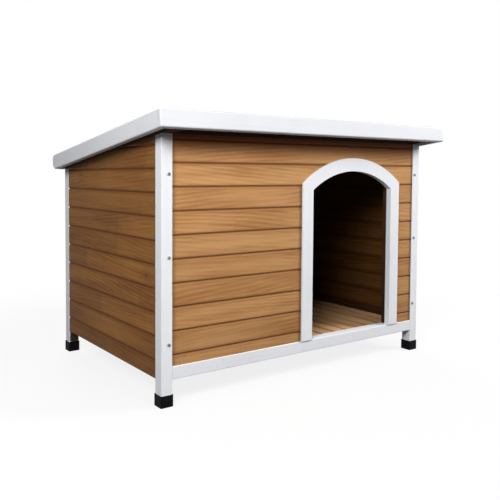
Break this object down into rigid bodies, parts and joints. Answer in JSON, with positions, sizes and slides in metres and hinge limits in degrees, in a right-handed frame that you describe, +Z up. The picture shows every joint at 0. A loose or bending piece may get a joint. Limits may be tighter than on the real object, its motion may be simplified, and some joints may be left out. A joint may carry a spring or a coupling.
{
  "type": "dog house",
  "caption": "Raised timber dog house with an off-centre arched doorway, board walls, lift-out slatted floor and a rear-hinged lean-to roof on sliding stays.",
  "frame": {"origin": "on the ground, under the middle of the overall box", "axes": "+X to the right along the front, +Y from the front to the back, +Z up; the doorway faces -Y"},
  "size_m": [1.16, 0.788, 0.8118],
  "materials": {
    "white_paint": "satin white paint on planed timber",
    "black_plastic": "moulded, matte",
    "stained_boards": "golden brown stain, satin, grain showing",
    "inner_timber": "darker brown stain, matte",
    "floor_timber": "brown stain, matte",
    "dark_steel": "dark coated steel",
    "zinc_plate": "zinc-plated steel",
    "weather_sheet": "grey mineral-faced bitumen sheet"
  },
  "bodies": {
    "carcass": {"back_boards": "stained_boards", "back_bottom_rail": "white_paint", "back_top_rail": "white_paint", "door_arch": "white_paint", "door_jamb_left": "white_paint", "door_jamb_right": "white_paint", "door_stud_left": "inner_timber", "door_stud_right": "inner_timber", "floor_ledger_front": "inner_timber", "floor_ledger_rear": "inner_timber", "foot_cap_front_left": "black_plastic", "foot_cap_front_right": "black_plastic", "foot_cap_rear_left": "black_plastic", "foot_cap_rear_right": "black_plastic", "frame_screws": "dark_steel", "front_boards_left": "stained_boards", "front_boards_over_door": "stained_boards", "front_boards_right": "stained_boards", "front_bottom_rail": "white_paint", "front_top_rail": "inner_timber", "hinge_pins": "zinc_plate", "hinge_wall_leaf_left": "zinc_plate", "hinge_wall_leaf_right": "zinc_plate", "post_front_left": "white_paint", "post_front_right": "white_paint", "post_rear_left": "white_paint", "post_rear_right": "white_paint", "side_boards_left": "stained_boards", "side_boards_right": "stained_boards", "side_bottom_rail_left": "inner_timber", "side_bottom_rail_right": "inner_timber", "side_stile_front_left": "inner_timber", "side_stile_front_right": "inner_timber", "side_stile_rear_left": "inner_timber", "side_stile_rear_right": "inner_timber", "side_top_rail_left": "inner_timber", "side_top_rail_right": "inner_timber", "stay_bracket_left": "zinc_plate", "stay_bracket_right": "zinc_plate", "wall_hardware_screws": "zinc_plate"},
    "roof": {"roof_fascia_front": "white_paint", "roof_fascia_left": "white_paint", "roof_fascia_right": "white_paint", "roof_fascia_rear": "white_paint", "roof_deck": "inner_timber", "roof_sheet": "weather_sheet", "roof_batten_left": "inner_timber", "roof_batten_right": "inner_timber", "roof_batten_front": "inner_timber", "hinge_roof_leaf_left": "zinc_plate", "hinge_roof_leaf_right": "zinc_plate", "stay_track_left": "zinc_plate", "stay_track_right": "zinc_plate", "roof_hardware_screws": "zinc_plate"},
    "stay_arm_left": {"stay_arm_left": "zinc_plate"},
    "stay_arm_right": {"stay_arm_right": "zinc_plate"},
    "floor_left": {"floor_slats_left": "floor_timber", "floor_battens_left": "floor_timber"},
    "floor_right": {"floor_slats_right": "floor_timber", "floor_battens_right": "floor_timber"}
  },
  "joints": [
    {"name": "roof_hinge", "type": "hinge", "parent": "carcass", "child": "roof", "pos_m": [0, 0.38603, 0.64838], "axis": [-1, 0, 0], "range_deg": [0, 55]},
    {"name": "stay_left_pivot", "type": "hinge", "parent": "carcass", "child": "stay_arm_left", "pos_m": [-0.499, 0.12839, 0.68335], "axis": [-1, 0, 0], "range_deg": [0, 110]},
    {"name": "stay_right_pivot", "type": "hinge", "parent": "carcass", "child": "stay_arm_right", "pos_m": [0.499, 0.12839, 0.68335], "axis": [-1, 0, 0], "range_deg": [0, 110]},
    {"name": "floor_left_lift", "type": "slide", "parent": "carcass", "child": "floor_left", "axis": [0, 0, 1], "range_m": [0, 0.25]},
    {"name": "floor_right_lift", "type": "slide", "parent": "carcass", "child": "floor_right", "axis": [0, 0, 1], "range_m": [0, 0.25]}
  ],
  "couplings": [
    {"joint": "stay_left_pivot", "follows": "roof_hinge", "ratio": 2},
    {"joint": "stay_right_pivot", "follows": "roof_hinge", "ratio": 2}
  ]
}
